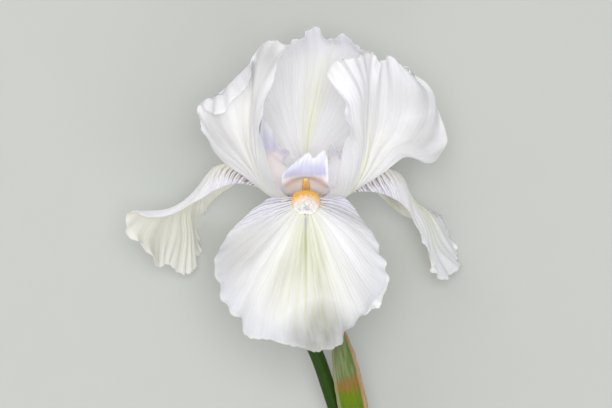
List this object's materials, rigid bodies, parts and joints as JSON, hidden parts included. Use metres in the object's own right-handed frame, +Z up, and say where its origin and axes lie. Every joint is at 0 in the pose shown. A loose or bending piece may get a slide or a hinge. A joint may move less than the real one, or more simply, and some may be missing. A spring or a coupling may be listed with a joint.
{
  "type": "bearded iris flower",
  "caption": "Cut bearded iris bloom lying on its back: ruffled upright standards over spreading falls with fuzzy beards, petal-like style arms, and a short stem with a papery side bud.",
  "frame": {"origin": "centre of the bounding box at its bottom, on the surface that the flower lies on", "axes": "+Y points from the cut stem towards the top of the bloom, +X to the right of the bloom seen from its face, +Z up, out of the surface"},
  "size_m": [0.1302, 0.2178, 0.1011],
  "materials": {
    "standard": "satin, softly veined translucent petal, white with a lavender cast at the margins",
    "fall": "satin petal, white with a yellow-green centre and fine brown-violet veins on the haft",
    "beard": "short fuzzy hairs, orange in the throat and white towards the blade",
    "style_arm": "smooth satin, lavender crest above a pinkish beige arm",
    "stamen": "dull, mealy pollen on a pale filament",
    "floral_tube": "smooth waxy plant skin, pale green",
    "stem": "smooth waxy plant skin, dark green with fine lengthwise lines",
    "bud": "smooth, rolled petals, pale green-yellow",
    "spathe": "dry papery bract, beige-green with brown streaks"
  },
  "bodies": {
    "root": {"standard_back": "standard", "standard_left": "standard", "standard_right": "standard", "fall_front": "fall", "fall_left": "fall", "fall_right": "fall", "beard_front": "beard", "beard_left": "beard", "beard_right": "beard", "style_arm_front": "style_arm", "style_arm_left": "style_arm", "style_arm_right": "style_arm", "stamen_front": "stamen", "stamen_left": "stamen", "stamen_right": "stamen", "floral_tube": "floral_tube", "stem": "stem", "bud": "bud", "spathe_front": "spathe", "spathe_back": "spathe"}
  },
  "joints": []
}
